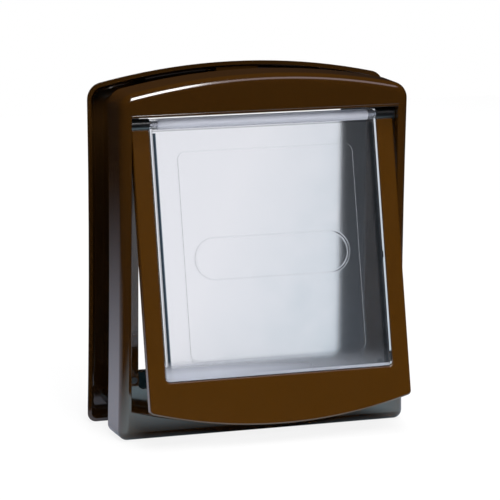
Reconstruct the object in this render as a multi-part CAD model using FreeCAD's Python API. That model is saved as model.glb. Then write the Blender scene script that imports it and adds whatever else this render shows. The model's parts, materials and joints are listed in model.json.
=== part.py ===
import FreeCAD, Part
import math
import os

from FreeCAD import Vector

os.makedirs("parts", exist_ok=True)

# Small cat flap for a door leaf. X runs across it, Y from the outdoor side to the indoor side, Z up.
# The origin lies on the base plane, straight below the hinge line. All sizes are in millimetres.

# Outline of the outer frame. Its size, 198 wide and 236 high, follows from these values and the flap.
leg_width = 7.9
header_height = 23.6
rail_height = 7.3
arch_rise = 11.4
side_waist = 1.1
top_corner_radius = 11.0
base_corner_radius = 6.0
wall = 2.2
face_wall = 2.5
face_edge_radius = 5.5

# The inner frame is a little larger and narrows towards its face
inner_side_margin = 4.8
inner_crown_margin = 1.0
inner_arch_rise = 12.5
inner_side_draft = 6.0
inner_crown_draft = 4.0
inner_edge_radius = 4.5

# Depths along Y, measured from the hinge line
hinge_setback = 8.5
outer_frame_depth = 27.5
leaf_gap = 29.5
inner_frame_depth = 20.0
flange_thickness = 2.5

# Hinge line and the angle at which the surround is held open in the picture
rest_swing = 13.0
pin_radius = 1.5
pin_reach = 6.0
sleeve_radius = 4.0
running_clearance = 0.05
tight_clearance = 0.02
end_gap = 0.4

# Clear flap
flap_width = 154.8
flap_drop = 164.6
flap_barrel_radius = 3.6
flap_plate_front = 1.0
flap_plate_back = 2.0
flap_rim_front = 1.9
flap_rim_back = 2.9
flap_rim_width = 1.8
flap_corner_radius = 2.5
panel_side_margin = 17.4
panel_top_margin = 18.4
panel_bottom_margin = 10.9
panel_corner_radius = 5.5
panel_rise = 0.5
badge_length = 106.0
badge_height = 27.0
badge_drop = 88.0
badge_line = 1.2
badge_rise = 0.5
nib_drop = 92.0
nib_height = 4.0
nib_reach = 1.0
nib_depth = 1.6
nib_clearance = 0.3

# Brown surround that swings out with the flap
window_clearance = 0.5
surround_leg = 11.7
surround_front = 1.9
surround_back = 3.1
surround_band = 31.8
surround_arc_radius = 327.0
surround_corner_radius = 3.0
surround_edge_radius = 1.0
surround_skin = 2.0
surround_rib = 2.0

# Opening in the outer frame's face and the passage through the door
pocket_side_clearance = 1.5
pocket_sill_clearance = 1.3
header_clearance = 2.9
pocket_lip_radius = 0.8
tunnel_side_clearance = 0.4
tunnel_floor_clearance = 12.9
tunnel_ceiling_clearance = 3.5
tunnel_corner_radius = 3.5
liner_wall = 1.8
liner_seat = 1.2
liner_reach = 43.0
liner_end_clearance = 4.0
collar_clearance = 0.4
collar_wall = 2.0
collar_setback = 3.0

# Closing stops with their magnets, and the strike plates on the surround
stop_side_margin = 3.2
stop_height = 7.5
stop_rise = 5.5
stop_gap = 0.5
magnet_radius = 2.2
magnet_depth = 2.0
magnet_inset = 3.9
strike_width = 5.0
strike_height = 8.0
strike_thickness = 1.0
strike_pad_margin = 1.5

# Fixing screws and their covers
screw_low_inset = 19.0
screw_high_inset = 38.0
screw_low = 10.0
screw_header_gap = 0.8
screw_radius = 1.75
screw_head_radius = 3.3
screw_head_height = 2.4
screw_tip_margin = 3.5
driver_slot_width = 0.9
driver_slot_depth = 1.2
pillar_radius = 3.6
pillar_blind_wall = 1.5
seat_pillar_radius = 5.4
seat_depth = 8.5
seat_thickness = 6.0
counterbore_radius = 3.6
screw_clearance = 0.35
cover_wall = 0.9

# Stiffening box under the crown of the inner frame
box_width = 29.0
box_height = 11.0
box_setback = 1.5

# Places worked out from the sizes above
outer_face_y = -hinge_setback
outer_rim_y = outer_face_y + outer_frame_depth
inner_rim_y = outer_rim_y + leaf_gap
inner_face_y = inner_rim_y + inner_frame_depth
flange_y = outer_rim_y - flange_thickness
flap_half = flap_width / 2
surround_floor = rail_height + pocket_sill_clearance
surround_drop = flap_drop + window_clearance + surround_band
hinge_height = surround_floor + surround_drop
flap_floor = hinge_height - flap_drop
window_half = flap_half + window_clearance
surround_half = window_half + surround_leg
pocket_half = surround_half + pocket_side_clearance
pocket_top = hinge_height + sleeve_radius + header_clearance
half_width = pocket_half + leg_width
frame_height = pocket_top + header_height
arc_centre_z = surround_floor + surround_arc_radius
pocket_arc_radius = surround_arc_radius + pocket_sill_clearance
tunnel_half = flap_half + nib_reach + tunnel_side_clearance
tunnel_floor = flap_floor - tunnel_floor_clearance
tunnel_ceiling = hinge_height + tunnel_ceiling_clearance
stop_floor = tunnel_floor + stop_rise
hinge_point = Vector(0, 0, hinge_height)
screw_low_x = half_width - screw_low_inset
screw_high_x = half_width - screw_high_inset
screw_high = pocket_top + wall + pillar_radius + screw_header_gap
screw_seat_y = inner_face_y - seat_depth
screw_tip_y = outer_face_y + face_wall + screw_tip_margin
magnet_x = surround_half - magnet_inset
magnet_z = stop_floor + stop_height / 2
nib_z = hinge_height - nib_drop
pin_end = pocket_half + wall + pin_radius


def arc_height(radius, centre_z, x):
    """Height of the lower side of a circle in the XZ plane at x."""
    return centre_z - math.sqrt(radius ** 2 - x ** 2)


def prism(edges, y_low, y_high):
    """Solid made by pushing a closed outline drawn at y = 0 from y_low to y_high."""
    face = Part.Face(Part.Wire(edges))
    face.translate(Vector(0, y_low, 0))
    return face.extrude(Vector(0, y_high - y_low, 0))


def line(start, end):
    return Part.LineSegment(Vector(start[0], 0, start[1]), Vector(end[0], 0, end[1])).toShape()


def arc(start, middle, end):
    points = [Vector(p[0], 0, p[1]) for p in (start, middle, end)]
    return Part.Arc(*points).toShape()


def edges_along_y(solid, keep=lambda centre: True):
    """Straight edges that run along Y, such as a prism's corners."""
    chosen = []
    for edge in solid.Edges:
        box = edge.BoundBox
        if box.XLength < 0.01 and box.ZLength < 0.01 and keep(edge.CenterOfMass):
            chosen.append(edge)
    return chosen


def edges_in_plane(solid, y, keep=lambda edge: True):
    chosen = []
    for edge in solid.Edges:
        box = edge.BoundBox
        if abs(box.YMin - y) < 0.01 and abs(box.YMax - y) < 0.01 and keep(edge):
            chosen.append(edge)
    return chosen


def block(x_low, x_high, y_low, y_high, z_low, z_high):
    corner = Vector(x_low, y_low, z_low)
    return Part.makeBox(x_high - x_low, y_high - y_low, z_high - z_low, corner)


def rounded_block(half, z_low, z_high, y_low, y_high, radius):
    """Block across X with rounded corners, seen along Y."""
    solid = block(-half, half, y_low, y_high, z_low, z_high)
    return solid.makeFillet(radius, edges_along_y(solid))


def rod_y(radius, x, z, y_low, y_high):
    return Part.makeCylinder(radius, y_high - y_low, Vector(x, y_low, z), Vector(0, 1, 0))


def rod_x(radius, x_low, x_high, y=0.0, z=hinge_height):
    return Part.makeCylinder(radius, x_high - x_low, Vector(x_low, y, z), Vector(1, 0, 0))


def both_sides(solid):
    """The solid with its mirror image across the middle plane."""
    return solid.fuse(solid.mirror(Vector(0, 0, 0), Vector(1, 0, 0)))


def frame_outline(half, base, crown, rise, y_low, y_high, top_radius, base_radius):
    """Arched outline with a slight waist and round corners, as a solid block."""
    shoulder = crown - rise
    middle = (base + shoulder) / 2
    solid = prism([
        line((-half, base), (half, base)),
        arc((half, base), (half - side_waist, middle), (half, shoulder)),
        arc((half, shoulder), (0, crown), (-half, shoulder)),
        arc((-half, shoulder), (-half + side_waist, middle), (-half, base)),
    ], y_low, y_high)
    high = edges_along_y(solid, lambda centre: centre.z > middle)
    solid = solid.makeFillet(top_radius, high)
    low = edges_along_y(solid, lambda centre: centre.z < base + 1)
    return solid.makeFillet(base_radius, low)


def outer_body(inset, y_low, edge_radius):
    """Block of the outer frame, shrunk by an inset, with its face edge rounded."""
    solid = frame_outline(half_width - inset, inset, frame_height - inset, arch_rise, y_low,
                          outer_rim_y + inset, top_corner_radius - inset, base_corner_radius - inset)
    return solid.makeFillet(edge_radius, edges_in_plane(solid, y_low))


def inner_body(inset, y_high, edge_radius):
    """Block of the inner frame, shrunk by an inset, which narrows to a rounded face at y_high."""
    half = half_width + inner_side_margin - inset
    crown = frame_height + inner_crown_margin - inset
    ends = []
    for y, draft in ((inner_rim_y - inset, 0), (y_high, 1)):
        slab = frame_outline(half - draft * inner_side_draft, inset, crown - draft * inner_crown_draft,
                             inner_arch_rise, y, y + 1, top_corner_radius - inset,
                             base_corner_radius - inset)
        ends.append(next(face.OuterWire for face in slab.Faces if face.BoundBox.YMax < y + 0.01))
    solid = Part.makeLoft(ends, True, True)
    return solid.makeFillet(edge_radius, edges_in_plane(solid, y_high))


def pocket_body(grow, y_low, y_high):
    """Opening of the outer frame's face: square above, with a bowed sill below."""
    half = pocket_half + grow
    radius = pocket_arc_radius + grow
    top = pocket_top + grow
    end_z = arc_height(radius, arc_centre_z, half)
    return prism([
        arc((-half, end_z), (0, arc_centre_z - radius), (half, end_z)),
        line((half, end_z), (half, top)),
        line((half, top), (-half, top)),
        line((-half, top), (-half, end_z)),
    ], y_low, y_high)


def four_places():
    for side in (-1, 1):
        yield side * screw_low_x, screw_low
        yield side * screw_high_x, screw_high


def swing_open(solid):
    """Turns a hanging piece about the hinge line to the open angle in the picture."""
    turned = solid.copy()
    turned.rotate(hinge_point, Vector(1, 0, 0), -rest_swing)
    return turned


def make_outer_frame():
    """Outdoor frame: a hollow shell with a pocket for the surround and a flange round the passage."""
    shell = outer_body(0, outer_face_y, face_edge_radius)
    shell = shell.cut(outer_body(wall, outer_face_y + face_wall, face_edge_radius - wall))

    pocket_walls = pocket_body(wall, outer_face_y + face_wall / 2, outer_rim_y)
    boss = rod_x(pin_radius + wall, pocket_half + wall / 2, half_width - wall - side_waist / 2)
    solid = shell.fuse([pocket_walls, both_sides(boss)])
    for x, z in four_places():
        pillar = rod_y(pillar_radius, x, z, outer_face_y + face_wall / 2, outer_rim_y)
        solid = solid.fuse(pillar)

    solid = solid.cut(pocket_body(0, outer_face_y - 1, flange_y))
    liner_groove = liner_block(running_clearance, outer_rim_y - liner_seat, outer_rim_y + 1)
    solid = solid.cut([tunnel_block(outer_face_y - 1, outer_rim_y + 1), liner_groove])

    stop = block(magnet_x - stop_side_margin, pocket_half + wall / 2, surround_back + stop_gap,
                 flange_y + flange_thickness / 2, stop_floor, stop_floor + stop_height)
    magnet_hole = rod_y(magnet_radius + tight_clearance, magnet_x, magnet_z,
                        surround_back + stop_gap - 1, surround_back + stop_gap + magnet_depth)
    pin_hole = rod_x(pin_radius + tight_clearance, pocket_half - 1, pin_end)
    solid = solid.fuse(both_sides(stop)).cut([both_sides(magnet_hole), both_sides(pin_hole)])
    for x, z in four_places():
        hole = rod_y(screw_radius + running_clearance, x, z, screw_tip_y - pillar_blind_wall,
                     outer_rim_y + 1)
        solid = solid.cut(hole)

    solid = solid.removeSplitter()
    return solid.makeFillet(pocket_lip_radius, edges_in_plane(solid, outer_face_y, inside_pocket))


def tunnel_block(y_low, y_high):
    """The clear passage, as a block."""
    return rounded_block(tunnel_half, tunnel_floor, tunnel_ceiling, y_low, y_high, tunnel_corner_radius)


def liner_block(grow, y_low, y_high):
    """Outside of the tunnel liner, as a block."""
    edge = liner_wall + grow
    return rounded_block(tunnel_half + edge, tunnel_floor - edge, tunnel_ceiling + edge, y_low, y_high,
                         tunnel_corner_radius + edge)


def make_tunnel_liner():
    """Sleeve that lines the hole in the door: one end sits in the outer frame's flange."""
    y_low = outer_rim_y - liner_seat
    y_high = outer_rim_y + liner_reach
    return liner_block(0, y_low, y_high).cut(tunnel_block(y_low - 1, y_high + 1))


def inside_pocket(edge):
    """Whether an edge of the outer frame's face borders its pocket."""
    box = edge.BoundBox
    return abs(box.XMin) < pocket_half + 0.01 and abs(box.XMax) < pocket_half + 0.01


def make_inner_frame():
    """Indoor frame: a hollow shell whose collar slides over the tunnel liner."""
    blank = inner_body(0, inner_face_y, inner_edge_radius)
    shell = blank.cut(inner_body(wall, inner_face_y - face_wall, inner_edge_radius - wall))

    collar = liner_block(collar_clearance + collar_wall, inner_rim_y + collar_setback,
                         inner_face_y - face_wall / 2)
    crown = frame_height + inner_crown_margin
    box = block(-box_width / 2, box_width / 2, inner_rim_y + box_setback, inner_face_y,
                crown - box_height, crown)
    solid = shell.fuse([collar, box.common(blank)])
    for x, z in four_places():
        pillar = rod_y(seat_pillar_radius, x, z, screw_seat_y - seat_thickness, inner_face_y - face_wall / 2)
        solid = solid.fuse(pillar)

    hole_end_y = outer_rim_y + liner_reach + liner_end_clearance
    liner_hole = liner_block(collar_clearance, inner_rim_y - 1, hole_end_y)
    way_out = rounded_block(tunnel_half + liner_wall + collar_clearance, tunnel_floor, tunnel_ceiling,
                            hole_end_y - 1, max(inner_face_y, hole_end_y) + 1,
                            tunnel_corner_radius + liner_wall)
    solid = solid.cut([liner_hole, way_out])
    for x, z in four_places():
        hole = rod_y(screw_radius + screw_clearance, x, z, screw_seat_y - seat_thickness - 1,
                     screw_seat_y + 1)
        counterbore = rod_y(counterbore_radius, x, z, screw_seat_y, inner_face_y + 1)
        solid = solid.cut([hole, counterbore])
    return solid.removeSplitter()


def make_surround():
    """U-shaped panel: two legs and a bowed bottom band, with stiffening ribs behind its skin."""
    front = -surround_front
    back = surround_back
    solid = surround_blank(0, front, back)
    corners = edges_along_y(solid, lambda centre: centre.z < surround_floor + surround_drop / 4)
    solid = solid.makeFillet(surround_corner_radius, corners)
    window = flap_window(0, front - 1, back + 1)
    solid = solid.cut(window)
    solid = solid.makeFillet(surround_edge_radius, edges_in_plane(solid, front, below_sleeve))

    hollow = surround_blank(surround_rib, front + surround_skin, back + 1)
    hollow = hollow.cut(flap_window(surround_rib, front, back + 2))
    top = hinge_height - sleeve_radius - surround_rib * 2
    hollow = hollow.common(block(-half_width, half_width, front, back + 2, 0, top))
    solid = solid.cut(hollow)

    pad = block(magnet_x - strike_width / 2 - strike_pad_margin, surround_half - surround_rib / 2,
                front + surround_skin / 2, back, magnet_z - strike_height / 2 - strike_pad_margin,
                magnet_z + strike_height / 2 + strike_pad_margin)
    nib_wall = block(window_half + surround_rib / 2, window_half + nib_reach + surround_rib,
                     front + surround_skin / 2, back, nib_z - nib_height, nib_z + nib_height)
    solid = solid.fuse([both_sides(pad), both_sides(nib_wall)])
    seat = strike_block(tight_clearance, back + 1)
    saddle = rod_x(sleeve_radius + tight_clearance, -half_width, half_width)
    nib_notch = block(window_half - 1, flap_half + nib_reach + nib_clearance,
                      flap_rim_back - nib_depth - nib_clearance, back + 1,
                      nib_z - nib_height / 2 - nib_clearance, nib_z + nib_height / 2 + nib_clearance)
    return solid.cut([both_sides(seat), saddle, both_sides(nib_notch)]).removeSplitter()


def below_sleeve(edge):
    return edge.BoundBox.ZMin < hinge_height - sleeve_radius


def surround_blank(inset, y_low, y_high):
    half = surround_half - inset
    radius = surround_arc_radius - inset
    top = hinge_height
    end_z = arc_height(radius, arc_centre_z, half)
    return prism([
        arc((-half, end_z), (0, arc_centre_z - radius), (half, end_z)),
        line((half, end_z), (half, top)),
        line((half, top), (-half, top)),
        line((-half, top), (-half, end_z)),
    ], y_low, y_high)


def flap_window(grow, y_low, y_high):
    half = window_half + grow
    floor = flap_floor - window_clearance - grow
    solid = block(-half, half, y_low, y_high, floor, hinge_height + 1)
    corners = edges_along_y(solid, lambda centre: centre.z < floor + 1)
    return solid.makeFillet(flap_corner_radius + window_clearance, corners)


def strike_block(grow, y_high):
    """Place of a strike plate in the back of the surround's right leg."""
    half_w = strike_width / 2 + grow
    half_h = strike_height / 2 + grow
    return block(magnet_x - half_w, magnet_x + half_w, surround_back - strike_thickness, y_high,
                 magnet_z - half_h, magnet_z + half_h)


def make_flap():
    """Rigid clear flap moulded in one piece: barrel, rim, plate, raised panel and two side nibs."""
    rim = block(-flap_half, flap_half, -flap_rim_front, flap_rim_back, flap_floor, hinge_height)
    low = edges_along_y(rim, lambda centre: centre.z < flap_floor + 1)
    rim = rim.makeFillet(flap_corner_radius, low)
    inner = block(-flap_half + flap_rim_width, flap_half - flap_rim_width, -flap_rim_front - 1,
                  flap_rim_back + 1, flap_floor + flap_rim_width, hinge_height + 1)
    plate = block(-flap_half + flap_rim_width / 2, flap_half - flap_rim_width / 2, -flap_plate_front,
                  flap_plate_back, flap_floor + flap_rim_width / 2, hinge_height)
    panel_half = flap_half - panel_side_margin
    panel = block(-panel_half, panel_half, -flap_plate_front - panel_rise, 0,
                  flap_floor + panel_bottom_margin, hinge_height - panel_top_margin)
    panel = panel.makeFillet(panel_corner_radius, edges_along_y(panel))
    badge = stadium(0).cut(stadium(badge_line))
    nib = block(flap_half - flap_rim_width, flap_half + nib_reach, flap_rim_back - nib_depth,
                flap_rim_back, nib_z - nib_height / 2, nib_z + nib_height / 2)
    barrel = rod_x(flap_barrel_radius, -flap_half, flap_half)
    solid = rim.cut(inner).fuse([plate, panel, badge, both_sides(nib), barrel])
    bore = rod_x(pin_radius + running_clearance, flap_half - pin_reach - 1, flap_half + 1)
    return solid.cut(both_sides(bore)).removeSplitter()


def stadium(inset):
    """Plain rounded badge on the flap's panel, as a solid of its outline."""
    radius = badge_height / 2 - inset
    straight = (badge_length - badge_height) / 2
    z = hinge_height - badge_drop
    front = -flap_plate_front - panel_rise - badge_rise
    body = block(-straight, straight, front, 0, z - radius, z + radius)
    ends = [rod_y(radius, side * straight, z, front, 0) for side in (-1, 1)]
    return body.fuse(ends)


def make_pin(side):
    """Steel hinge pin from the flap's barrel to the leg of the outer frame."""
    pin = rod_x(pin_radius, flap_half - pin_reach, pin_end)
    return pin if side > 0 else pin.mirror(Vector(0, 0, 0), Vector(1, 0, 0))


def make_sleeve(side):
    """Black sleeve that turns on the pin and carries one leg of the surround."""
    start = window_half
    end = pocket_half - end_gap
    sleeve = rod_x(sleeve_radius, start, end).cut(rod_x(pin_radius + running_clearance, start - 1, end + 1))
    return sleeve if side > 0 else sleeve.mirror(Vector(0, 0, 0), Vector(1, 0, 0))


def make_magnet(side):
    front = surround_back + stop_gap
    return rod_y(magnet_radius, side * magnet_x, magnet_z, front, front + magnet_depth)


def make_strike(side):
    strike = strike_block(0, surround_back)
    return strike if side > 0 else strike.mirror(Vector(0, 0, 0), Vector(1, 0, 0))


def make_screw(x, z):
    """Pan-head screw, driven from indoors through the door leaf."""
    shank = rod_y(screw_radius, x, z, screw_tip_y, screw_seat_y)
    tip = Part.makeCone(screw_radius / 2, screw_radius, screw_radius, Vector(x, screw_tip_y, z),
                        Vector(0, 1, 0))
    body = shank.cut(rod_y(screw_radius * 2, x, z, screw_tip_y - 1, screw_tip_y + screw_radius))
    head_top = screw_seat_y + screw_head_height
    head = rod_y(screw_head_radius, x, z, screw_seat_y, head_top)
    head = head.makeFillet(screw_head_height / 2, edges_in_plane(head, head_top))
    solid = body.fuse([tip, head])
    for turned in (False, True):
        reach = screw_head_radius * 0.6
        width = driver_slot_width / 2
        dx, dz = (width, reach) if turned else (reach, width)
        solid = solid.cut(block(x - dx, x + dx, head_top - driver_slot_depth, head_top + 1, z - dz, z + dz))
    return solid.removeSplitter()


def make_cover(x, z):
    """Press-in cover that hides a screw head, open towards the screw."""
    start = screw_seat_y + screw_head_height
    radius = counterbore_radius - running_clearance
    cup = rod_y(radius, x, z, start, inner_face_y)
    return cup.cut(rod_y(radius - cover_wall, x, z, start - 1, inner_face_y - cover_wall))


nodes = {
    "outer_frame": make_outer_frame(),
    "inner_frame": make_inner_frame(),
    "tunnel_liner": make_tunnel_liner(),
    "surround": swing_open(make_surround()),
    "flap": swing_open(make_flap()),
}
for side, side_name in ((-1, "left"), (1, "right")):
    nodes["hinge_pin_" + side_name] = make_pin(side)
    nodes["hinge_sleeve_" + side_name] = swing_open(make_sleeve(side))
    nodes["stop_magnet_" + side_name] = make_magnet(side)
    nodes["strike_plate_" + side_name] = swing_open(make_strike(side))
for x, z in four_places():
    place = ("upper" if z == screw_high else "lower") + ("_left" if x < 0 else "_right")
    nodes["screw_" + place] = make_screw(x, z)
    nodes["screw_cover_" + place] = make_cover(x, z)

for name, solid in nodes.items():
    solid.exportStep("parts/" + name + ".step")
    print(name, len(solid.Solids), "solid", round(solid.Volume), "mm3", solid.isValid())
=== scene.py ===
import json
import math

import bpy
from mathutils import Matrix, Vector


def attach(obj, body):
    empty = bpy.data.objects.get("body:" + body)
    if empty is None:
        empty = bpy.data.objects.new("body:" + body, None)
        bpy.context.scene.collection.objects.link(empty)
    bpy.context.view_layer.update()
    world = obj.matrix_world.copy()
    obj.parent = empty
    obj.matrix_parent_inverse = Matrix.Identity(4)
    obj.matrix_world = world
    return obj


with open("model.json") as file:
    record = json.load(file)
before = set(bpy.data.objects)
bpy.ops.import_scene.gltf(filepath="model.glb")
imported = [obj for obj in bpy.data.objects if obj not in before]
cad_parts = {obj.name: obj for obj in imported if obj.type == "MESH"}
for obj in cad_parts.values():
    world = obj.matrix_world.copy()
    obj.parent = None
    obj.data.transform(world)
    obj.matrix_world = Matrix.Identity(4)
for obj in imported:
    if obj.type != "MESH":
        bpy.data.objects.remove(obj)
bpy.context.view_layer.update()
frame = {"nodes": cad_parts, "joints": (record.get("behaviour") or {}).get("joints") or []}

mm = 0.001

# Camera. The flap was pictured from the left of its outdoor side with a long lens, looking a little
# down. The values were fitted to the edges of both frames in a picture of 500 by 500 pixels.
picture_pixels = 500
focal_pixels = 3154.6
pixels_right = 15.96
pixels_down = 4.33
camera_azimuth = math.radians(-20.17)
camera_elevation = math.radians(11.5)
camera_roll = math.radians(0.52)
camera_distance = 2.0475
camera_target = Vector((0, -8.5, 118)) * mm

bpy.ops.object.select_all(action="DESELECT")
bpy.ops.object.camera_add()
camera = bpy.context.object
camera.name = "camera"
away = Vector((math.sin(camera_azimuth) * math.cos(camera_elevation),
               -math.cos(camera_azimuth) * math.cos(camera_elevation),
               math.sin(camera_elevation)))
rightward = (-away).cross(Vector((0, 0, 1))).normalized()
upward = rightward.cross(-away)
turned_right = rightward * math.cos(camera_roll) + upward * math.sin(camera_roll)
turned_up = upward * math.cos(camera_roll) - rightward * math.sin(camera_roll)
axes = Matrix((turned_right, turned_up, away)).transposed().to_4x4()
camera.matrix_world = Matrix.Translation(camera_target + away * camera_distance) @ axes
camera.data.lens = camera.data.sensor_width * focal_pixels / picture_pixels
camera.data.shift_x = -pixels_right / picture_pixels
camera.data.shift_y = pixels_down / picture_pixels
camera.data.clip_start = 0.01
bpy.context.scene.camera = camera
bpy.context.scene.view_settings.view_transform = "Standard"


# Background and floor. A white table stands in a dark studio: the picture shows pure white behind the
# flap, while the glossy plastic mirrors the table low down and the dark room higher up. In reflections the
# table is a painted glow, though it is no lamp: a bluish emission with painted pools of light behind and
# in front of the flap, and a painted contact shadow in front of its base.
class Wire:
    """A shader socket. Arithmetic on wires adds Math nodes, and node() adds any other node."""

    def __init__(self, tree, socket=None):
        self.tree = tree
        self.socket = socket

    def node(self, kind, settings=None, inputs=None, output=0):
        made = self.tree.nodes.new("ShaderNode" + kind)
        for name, value in (settings or {}).items():
            setattr(made, name, value)
        for name, value in (inputs or {}).items():
            if isinstance(value, Wire):
                self.tree.links.new(value.socket, made.inputs[name])
            else:
                made.inputs[name].default_value = value
        return Wire(self.tree, made.outputs[output] if made.outputs else None)

    def maths(self, operation, *values, clamp=False):
        return self.node("Math", {"operation": operation, "use_clamp": clamp}, dict(enumerate(values)))

    def __add__(self, other):
        return self.maths("ADD", self, other)

    def __sub__(self, other):
        return self.maths("SUBTRACT", self, other)

    def __rsub__(self, other):
        return self.maths("SUBTRACT", other, self)

    def __mul__(self, other):
        return self.maths("MULTIPLY", self, other)

    def __truediv__(self, other):
        return self.maths("DIVIDE", self, other)

    def above(self, limit):
        return self.maths("GREATER_THAN", self, limit)

    __radd__ = __add__
    __rmul__ = __mul__


def clear_nodes(owner):
    """Empties the shader of a world or material and returns a loose wire in it."""
    owner.use_nodes = True
    owner.node_tree.nodes.clear()
    return Wire(owner.node_tree)


def rgb(red, green, blue):
    return (red, green, blue, 1)


def mixed(wire, share, first, second):
    return wire.node("MixShader", None, {0: share, 1: first, 2: second})


def blended(wire, share, first, second):
    return wire.node("Mix", {"data_type": "RGBA"}, {"Factor": share, "A": first, "B": second}, output=2)


def coordinate(vector, axis):
    return vector.node("SeparateXYZ", None, {"Vector": vector}, output=axis)


def ray_kind(wire, kind):
    return wire.node("LightPath", output="Is " + kind + " Ray")


room_ambient = rgb(0.94, 0.97, 1.0)
room_ambient_level = 0.15
room_gloss = rgb(0.10, 0.35, 0.55)
room_gloss_level = 0.02

world = bpy.data.worlds.new("studio")
bpy.context.scene.world = world
room = clear_nodes(world)
ambient = room.node("Background", None, {"Color": room_ambient, "Strength": room_ambient_level})
gloss_room = room.node("Background", None, {"Color": room_gloss, "Strength": room_gloss_level})
white = room.node("Background", None, {"Color": rgb(1, 1, 1), "Strength": 1})
seen = ray_kind(room, "Camera").maths("MAXIMUM", ray_kind(room, "Camera"), ray_kind(room, "Transmission"))
shade = mixed(room, ray_kind(room, "Glossy"), ambient, gloss_room)
room.node("OutputWorld", None, {"Surface": mixed(room, seen, shade, white)})

table_left = -0.60
table_right = 0.75
table_front = -0.40
table_back = 1.3
table_drop = 0.0003
table_paint = rgb(0.82, 0.82, 0.82)
table_glow = 0.86
# Tones, level and share of the painted glow that the table shows in reflections.
table_painted_glow_front = rgb(0.60, 0.86, 0.96)
table_painted_glow_back = rgb(0.80, 0.84, 1.00)
table_painted_glow_level = 2.2
table_painted_glow_share = 0.35
back_reach = 1.02
back_fade = 0.90
back_falloff = 2.0
back_level = 0.64
front_reach = 0.30
front_fade = 0.20
contact_shadow = 0.02
contact_fade = 0.07
contact_half_width = 0.075
contact_side_slope = 2
turn_sharpness = 2
turn_middle = 0.5
# Painted bluish tint of the table, seen only in reflections.
table_painted_reflection_tint_front = rgb(0.56, 0.72, 0.82)
table_painted_reflection_tint_back = rgb(0.66, 0.70, 0.84)

bpy.ops.object.select_all(action="DESELECT")
bpy.ops.mesh.primitive_plane_add(size=1, location=((table_left + table_right) / 2,
                                                   (table_front + table_back) / 2, -table_drop))
table = bpy.context.object
table.name = "table"
table.scale = (table_right - table_left, table_back - table_front, 1)
bpy.ops.object.transform_apply(location=True, scale=True)
paint = bpy.data.materials.new("table_paint")
wire = clear_nodes(paint)
matt = wire.node("BsdfDiffuse", None, {"Color": table_paint})
glow = wire.node("Emission", None, {"Color": rgb(1, 1, 1), "Strength": 1})
shown = mixed(wire, table_glow, matt, glow)
seen = wire.maths("MAXIMUM", ray_kind(wire, "Camera"), ray_kind(wire, "Transmission"))
spot = wire.node("TexCoord", output="Object")
at = coordinate(spot, "X")
along = coordinate(spot, "Y")
from_middle = wire.maths("SQRT", at * at + along * along)
# Painted light and shade in the table's reflection: a pool of light behind the flap, a smaller one in
# front, and a painted contact shadow in front of its base.
behind = wire.maths("ADD", along / from_middle * turn_sharpness, turn_middle, clamp=True)
painted_light_behind = wire.maths("DIVIDE", back_reach - from_middle, back_fade, clamp=True)
painted_light_behind = wire.maths("POWER", painted_light_behind, back_falloff) * back_level
painted_light_in_front = wire.maths("DIVIDE", front_reach - from_middle, front_fade, clamp=True)
beside = wire.maths("MAXIMUM", wire.maths("ABSOLUTE", at) - contact_half_width, 0) * contact_side_slope
outside_painted_shadow = wire.maths("DIVIDE", beside - along - contact_shadow, contact_fade, clamp=True)
painted_light_share = behind * painted_light_behind + (1 - behind) * painted_light_in_front * outside_painted_shadow
painted_unlit_table = wire.node("Emission", None, {"Color": room_gloss, "Strength": room_gloss_level})
painted_glow_tone = blended(wire, behind, table_painted_glow_front, table_painted_glow_back)
painted_reflection_tint = blended(wire, behind, table_painted_reflection_tint_front, table_painted_reflection_tint_back)
# The painted reflection: the table glows here though it is no lamp.
mirrored = wire.node("Emission", None, {"Color": painted_glow_tone, "Strength": table_painted_glow_level})
matt_in_gloss = wire.node("BsdfDiffuse", None, {"Color": painted_reflection_tint})
in_gloss = mixed(wire, painted_light_share, painted_unlit_table, mixed(wire, table_painted_glow_share, matt_in_gloss, mirrored))
surface = mixed(wire, seen, mixed(wire, ray_kind(wire, "Glossy"), matt, in_gloss), shown)
wire.node("OutputMaterial", None, {"Surface": surface})
table.data.materials.append(paint)


# Studio lights. One bright soft box hangs high in front and draws the white line along the header's
# edge. A dimmer panel to its right carries that line on in grey, and two fills without reflections of
# their own lift the tops and the indoor side.
def soft_box(name, azimuth, elevation, distance, width, height, level, colour, mirrored=True):
    """Area light that faces the flap. Azimuth 0 is straight in front of the outdoor side, 90 its right."""
    flat = math.radians(azimuth)
    high = math.radians(elevation)
    place = Vector((math.sin(flat) * math.cos(high), -math.cos(flat) * math.cos(high), math.sin(high)))
    bpy.ops.object.light_add(type="AREA", location=camera_target + place * distance)
    light = bpy.context.object
    light.name = name
    light.rotation_euler = place.to_track_quat("Z", "Y").to_euler()
    light.data.shape = "RECTANGLE"
    light.data.size = width
    light.data.size_y = height
    light.data.energy = level * math.pi * width * height
    light.data.color = colour
    light.visible_camera = False
    light.visible_transmission = False
    light.visible_glossy = mirrored


soft_box("key_box", azimuth=0, elevation=50, distance=1.6, width=0.62, height=0.80, level=14.5,
         colour=(1, 1, 1))
soft_box("line_panel", azimuth=32, elevation=49, distance=1.7, width=1.3, height=0.60, level=1.5,
         colour=(1.0, 0.86, 0.95))
soft_box("top_fill", azimuth=0, elevation=85, distance=1.6, width=0.9, height=0.9, level=8.0,
         colour=(1, 1, 1), mirrored=False)
soft_box("indoor_fill", azimuth=170, elevation=35, distance=1.8, width=1.0, height=0.8, level=7.0,
         colour=(1, 1, 1), mirrored=False)


# Outer frame. A hollow moulding of glossy dark brown plastic, polished all over, that is screwed to the
# outdoor face of the door. Its edges are round, and its flat faces ripple a little from the mould.
frame_brown = (0.038, 0.0145, 0.0014)
frame_brown_deep = (0.030, 0.0115, 0.0011)
edge_gain = 3
edge_highlight_gain = 1.5
edge_highlight_lift = 0.004
edge_highlight_share = 0.35
wipe_roughness = 0.03
smear_roughness = 0.06
edge_roughness = 0.08
grain_height = 0.02


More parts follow.
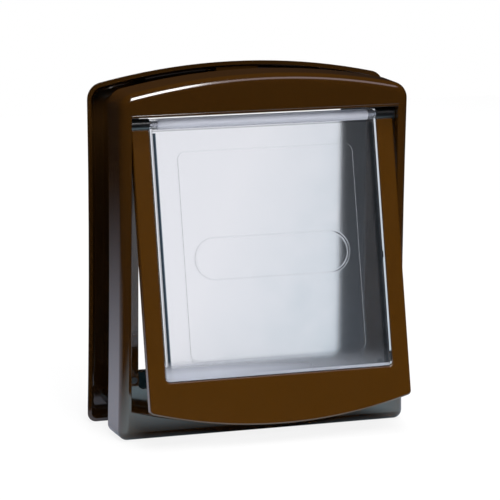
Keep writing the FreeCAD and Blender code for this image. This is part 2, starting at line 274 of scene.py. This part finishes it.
def moulded_plastic(name, colour, deep_colour, roughness, ripple, edge_radius=0.35 * mm, polish=1.0):
    """Glossy moulded plastic with flow marks, a rippled skin, fine wipe marks, softened edges and a
    painted highlight along the edges.
    """
    material = bpy.data.materials.new(name)
    wire = clear_nodes(material)
    place = wire.node("TexCoord", output="Object")
    flow = wire.node("TexNoise", None, {"Vector": place, "Scale": 22, "Detail": 3, "Distortion": 0.6})
    body = blended(wire, flow, rgb(*colour), rgb(*deep_colour))
    soft = wire.node("Bevel", {"samples": 6}, {"Radius": edge_radius})
    true = wire.node("NewGeometry", output="Normal")
    bend = wire.node("VectorMath", {"operation": "DOT_PRODUCT"}, {0: soft, 1: true}, output="Value")
    edge = wire.maths("MULTIPLY", 1 - bend, edge_gain, clamp=True)
    # Painted highlight: the colour is lightened along the edges.
    edge_highlight_colour = [min(1, part * edge_highlight_gain + edge_highlight_lift) for part in colour]
    body = blended(wire, edge * edge_highlight_share, body, rgb(*edge_highlight_colour))
    wiped = wire.node("Mapping", None, {"Vector": place, "Scale": (900, 900, 60)})
    wipes = wire.node("TexNoise", None, {"Vector": wiped, "Scale": 1, "Detail": 2})
    smears = wire.node("TexNoise", None, {"Vector": place, "Scale": 65, "Detail": 4})
    rough = roughness + wipes * wipe_roughness + smears * smear_roughness + edge * edge_roughness
    waves = wire.node("TexNoise", None, {"Vector": place, "Scale": 120, "Detail": 1})
    grain = wire.node("TexNoise", None, {"Vector": place, "Scale": 2400, "Detail": 2})
    skin = waves * ripple + grain * grain_height
    bump = wire.node("Bump", None, {
        "Height": skin, "Strength": 0.5, "Distance": 0.2 * mm, "Normal": soft})
    shader = wire.node("BsdfPrincipled", None, {
        "Base Color": body, "Roughness": rough, "Normal": bump, "IOR": 1.5, "Specular IOR Level": polish})
    wire.node("OutputMaterial", None, {"Surface": shader})
    return material


def dress(node, material):
    """Gives a node of the frame its finish in place of the plain one."""
    frame["nodes"][node].data.materials.clear()
    frame["nodes"][node].data.materials.append(material)


glossy_frame = moulded_plastic("glossy_frame_brown", frame_brown, frame_brown_deep,
                               roughness=0.065, ripple=0.10)
dress("outer_frame", glossy_frame)


# Header lip. A bead of the same brown plastic runs along the header's lower edge from leg to leg and
# narrows the slot over the flap's barrel. It belongs to the outer frame's moulding.
lip_half = 91.2 * mm
lip_front = -8.4 * mm
lip_depth = 2.8 * mm
lip_top = 212.9 * mm
lip_height = 1.8 * mm
lip_edge = 0.5 * mm
lip_edge_segments = 4
lip_smooth_angle = math.radians(40)

bpy.ops.object.select_all(action="DESELECT")
bpy.ops.mesh.primitive_cube_add(size=1, location=(0, lip_front + lip_depth / 2, lip_top - lip_height / 2))
header_lip = bpy.context.object
header_lip.name = "header_lip"
header_lip.scale = (2 * lip_half, lip_depth, lip_height)
bpy.ops.object.transform_apply(location=True, scale=True)
rounding = header_lip.modifiers.new("rounding", "BEVEL")
rounding.width = lip_edge
rounding.segments = lip_edge_segments
bpy.ops.object.modifier_apply(modifier=rounding.name)
bpy.ops.object.shade_smooth_by_angle(angle=lip_smooth_angle)
header_lip.data.materials.append(glossy_frame)
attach(header_lip, "frame")


# Inner frame and tunnel liner. The same plastic as the outer frame. The inner frame is screwed to the
# indoor face of the door, and the satin liner covers the cut edge of the hole between them. The liner's
# near-black teal colour is painted shade for the dark tunnel.
inner_brown = (0.040, 0.0152, 0.0016)
inner_brown_deep = (0.022, 0.0105, 0.0032)
# Painted shade: near-black teal colours for the liner inside the tunnel.
liner_painted_shade = (0.006, 0.0135, 0.0160)
liner_painted_shade_deep = (0.004, 0.0110, 0.0135)
dress("inner_frame", moulded_plastic("glossy_inner_brown", inner_brown, inner_brown_deep,
                                     roughness=0.05, ripple=0.10))
dress("tunnel_liner", moulded_plastic("satin_liner_painted_shade", liner_painted_shade, liner_painted_shade_deep,
                                      roughness=0.42, ripple=0.04, polish=0.35))


# Surround. A thin brown panel round the flap on three sides, moulded in a lighter and slightly softer
# gloss than the frames, which hangs from the hinge sleeves.
surround_brown = (0.061, 0.0225, 0.0010)
surround_brown_deep = (0.051, 0.0190, 0.0009)
dress("surround", moulded_plastic("satin_surround_brown", surround_brown, surround_brown_deep,
                                  roughness=0.12, ripple=0.10))


# Hinge sleeves and pins. Black moulded tubes at the tops of the surround's legs turn on steel pins,
# which are pressed into the outer frame and carry the flap's barrel.
sleeve_black = (0.006, 0.006, 0.007)
sleeve_black_deep = (0.004, 0.0045, 0.006)
black_plastic = moulded_plastic("satin_sleeve_black", sleeve_black, sleeve_black_deep,
                                roughness=0.24, ripple=0.06)
for side in ("left", "right"):
    dress("hinge_sleeve_" + side, black_plastic)

dull_share = 0.72
brushed_roughness = 0.12
cloud_roughness = 0.10


def plated_steel(name, colour, roughness, brushed_along):
    """Plated or bright metal with fine lines along one axis, cloudy patches and softened edges."""
    material = bpy.data.materials.new(name)
    wire = clear_nodes(material)
    place = wire.node("TexCoord", output="Object")
    lines = wire.node("Mapping", None, {"Vector": place, "Scale": brushed_along})
    brushed = wire.node("TexNoise", None, {"Vector": lines, "Scale": 1, "Detail": 4})
    clouds = wire.node("TexNoise", None, {"Vector": place, "Scale": 350, "Detail": 3})
    dull = [part * dull_share for part in colour]
    tone = blended(wire, clouds, rgb(*colour), rgb(*dull))
    rough = roughness + brushed * brushed_roughness + clouds * cloud_roughness
    soft = wire.node("Bevel", {"samples": 6}, {"Radius": 0.15 * mm})
    bump = wire.node("Bump", None, {
        "Height": brushed, "Strength": 0.4, "Distance": 0.02 * mm, "Normal": soft})
    shader = wire.node("BsdfPrincipled", None, {
        "Base Color": tone, "Roughness": rough, "Metallic": 1.0, "Normal": bump})
    wire.node("OutputMaterial", None, {"Surface": shader})
    return material


pin_steel = plated_steel("bright_pin_steel", (0.62, 0.62, 0.64),
                         roughness=0.16, brushed_along=(60, 2500, 2500))
for side in ("left", "right"):
    dress("hinge_pin_" + side, pin_steel)


# Flap. One rigid moulding of clear plastic: a polished rim carries a finely frosted plate with a raised
# panel and a plain badge outline. Its milky barrel has clear ends, where the steel pins show. Its tint
# carries painted shade: darker towards the lower right and the foot, with dark lines along the outlines,
# the inside of the rim and the seam under the barrel.
rest_swing = math.radians(13)
hinge_point = Vector(frame["joints"][0]["pos_m"])
flap_half = 77.4 * mm
flap_drop = 164.6 * mm
rim_width = 1.8 * mm
barrel_radius = 3.6 * mm
clear_end = 5.5 * mm
seam_width = 0.8 * mm
groove_width = 1.2 * mm
panel_side_margin = 17.4 * mm
panel_top_margin = 18.4 * mm
panel_bottom_margin = 10.9 * mm
panel_corner = 5.5 * mm
badge_half_length = 53 * mm
badge_radius = 13.5 * mm
badge_drop = 88 * mm
line_width = 0.8 * mm

clear_tint = (0.78, 0.79, 0.84)
shaded_tint = (0.54, 0.61, 0.68)
line_shade_tint = (0.60, 0.62, 0.68)
groove_shade_tint = (0.004, 0.012, 0.022)
milky = (0.79, 0.82, 0.91)
barrel_pale = (0.87, 0.90, 1.0)

line_relief = 4
line_shade_share = 0.4
panel_line_share = 0.65
seam_shade_share = 0.45
groove_gain = 2
groove_top_share = 1.6
clear_end_share = 0.85
lower_right_share = 0.6
foot_start_share = 1.2
foot_blend_share = 0.8
foot_haze = 0.46
foot_haze_middle = 0.66
foot_haze_slope = 0.62
foot_rim_haze = 0.40
haze_share = 0.015
haze_floor = 0.7
speckle_haze = 0.6
barrel_haze = 0.66
matt_share = 0.7
rim_roughness = 0.015
barrel_roughness = 0.12
frosting = 0.115
cloud_floor = 0.4
cloud_frosting = 0.03


def rounded_distance(across, down, middle_down, half_width, half_height, radius):
    """Distance from a rounded rectangle's outline on the flap, negative inside it."""
    past_side = across.maths("ABSOLUTE", across) - (half_width - radius)
    past_end = across.maths("ABSOLUTE", down - middle_down) - (half_height - radius)
    side = past_side.maths("MAXIMUM", past_side, 0)
    end = past_side.maths("MAXIMUM", past_end, 0)
    corner = past_side.maths("SQRT", side * side + end * end)
    inside = past_side.maths("MINIMUM", past_side.maths("MAXIMUM", past_side, past_end), 0)
    return corner + inside - radius


def thin_line(distance, width):
    """1 on an outline and 0 away from it."""
    return distance.maths("SUBTRACT", 1, distance.maths("ABSOLUTE", distance) / width, clamp=True)


def cloudy(wire, colour):
    """Milky plastic, which scatters light both back and through."""
    through = wire.node("BsdfTranslucent", None, {"Color": rgb(*colour)})
    back = wire.node("BsdfDiffuse", None, {"Color": rgb(*colour)})
    return mixed(wire, matt_share, through, back)


material = bpy.data.materials.new("clear_flap_plastic")
wire = clear_nodes(material)
upright = Matrix.Rotation(rest_swing, 3, "X")
hanging = wire.node("Mapping", None, {
    "Vector": wire.node("TexCoord", output="Object"), "Location": -(upright @ hinge_point),
    "Rotation": (rest_swing, 0, 0)})
across = coordinate(hanging, "X")
down = 0 - coordinate(hanging, "Z")
inside_sides = 1 - wire.maths("ABSOLUTE", across).above(flap_half - rim_width)
inside_foot = 1 - down.above(flap_drop - rim_width)
plate = inside_sides * inside_foot
barrel = 1 - down.above(barrel_radius)
milky_barrel = barrel * (1 - wire.maths("ABSOLUTE", across).above(flap_half - clear_end) * clear_end_share)
panel_height = flap_drop - panel_top_margin - panel_bottom_margin
panel_edge = rounded_distance(across, down, panel_top_margin + panel_height / 2,
                              flap_half - panel_side_margin, panel_height / 2, panel_corner)
badge_edge = rounded_distance(across, down, badge_drop, badge_half_length, badge_radius, badge_radius)
seam = thin_line(down - (barrel_radius + seam_width), seam_width) * inside_sides
panel_line = thin_line(panel_edge, line_width) * panel_line_share
lines = wire.maths("MAXIMUM", panel_line, thin_line(badge_edge, line_width)) * plate
speckle = wire.node("TexNoise", None, {"Vector": hanging, "Scale": 900, "Detail": 3})
clouds = wire.node("TexNoise", None, {"Vector": hanging, "Scale": 40, "Detail": 3})
# Painted shade: the tint turns darker and bluer towards the lower right and across the foot, in cloudy
# patches.
low_and_right = (across / flap_half + down / flap_drop) * (cloud_floor + clouds)
painted_shade_share = wire.maths("MULTIPLY", low_and_right, lower_right_share, clamp=True)
below_panel = wire.maths("DIVIDE", down - (flap_drop - panel_bottom_margin * foot_start_share),
                         panel_bottom_margin * foot_blend_share, clamp=True)
painted_shade_share = wire.maths("ADD", painted_shade_share, below_panel * lower_right_share, clamp=True)
tint = blended(wire, painted_shade_share, rgb(*clear_tint), rgb(*shaded_tint))
# Painted shade: thin darker lines along the panel and badge outlines.
tint = blended(wire, lines * line_shade_share, tint, rgb(*line_shade_tint))
# Painted shade: a dark line runs down the inside of the rim beside the plate, and a fainter one along the
# seam under the barrel.
from_rim = wire.maths("ABSOLUTE", across) - (flap_half - rim_width - groove_width)
groove_shade = wire.maths("MULTIPLY", thin_line(from_rim, groove_width), groove_gain, clamp=True)
groove_shade = groove_shade * inside_foot * down.above(barrel_radius * groove_top_share)
groove_shade = wire.maths("MAXIMUM", groove_shade, seam * seam_shade_share)
tint = blended(wire, groove_shade, tint, rgb(*groove_shade_tint))
rough = rim_roughness + plate * (frosting + clouds * cloud_frosting) + barrel * barrel_roughness
height = speckle * plate + lines * line_relief
bump = wire.node("Bump", None, {"Height": height, "Strength": 0.3, "Distance": 0.08 * mm})
clear = wire.node("BsdfPrincipled", None, {
    "Base Color": tint, "Roughness": rough, "IOR": 1.49, "Transmission Weight": 1.0, "Normal": bump})
leftward = wire.maths("SUBTRACT", foot_haze_middle, across / flap_half * foot_haze_slope, clamp=True)
foot = below_panel * leftward
foot_rim = (1 - inside_foot) * inside_sides
haze_here = plate * (haze_floor + speckle * speckle_haze) * haze_share
haze_here = wire.maths("MAXIMUM", haze_here + foot * foot_haze, foot_rim * foot_rim_haze)
hazy = mixed(wire, haze_here, clear, cloudy(wire, milky))
hazy = mixed(wire, milky_barrel * barrel_haze, hazy, cloudy(wire, barrel_pale))
wire.node("OutputMaterial", None, {"Surface": hazy})
dress("flap", material)


# Closing parts. Two magnets are pressed into the stops of the outer frame, and two plated steel strike
# plates into the back of the surround, so that the surround clicks shut.
magnet_grey = plated_steel("sintered_magnet_grey", (0.10, 0.10, 0.105),
                           roughness=0.38, brushed_along=(900, 900, 900))
strike_steel = plated_steel("zinc_strike_steel", (0.60, 0.61, 0.63),
                            roughness=0.20, brushed_along=(2500, 2500, 60))
for side in ("left", "right"):
    dress("stop_magnet_" + side, magnet_grey)
    dress("strike_plate_" + side, strike_steel)


# Screws and covers. Four plated pan-head screws pull the frames together through the door, and small
# glossy brown covers press in over their heads.
screw_steel = plated_steel("zinc_screw_steel", (0.62, 0.62, 0.60),
                           roughness=0.18, brushed_along=(2500, 300, 2500))
cover_brown = moulded_plastic("glossy_cover_brown", frame_brown, frame_brown_deep,
                              roughness=0.06, ripple=0.05, edge_radius=0.2 * mm)
for place in ("lower_left", "upper_left", "lower_right", "upper_right"):
    dress("screw_" + place, screw_steel)
    dress("screw_cover_" + place, cover_brown)
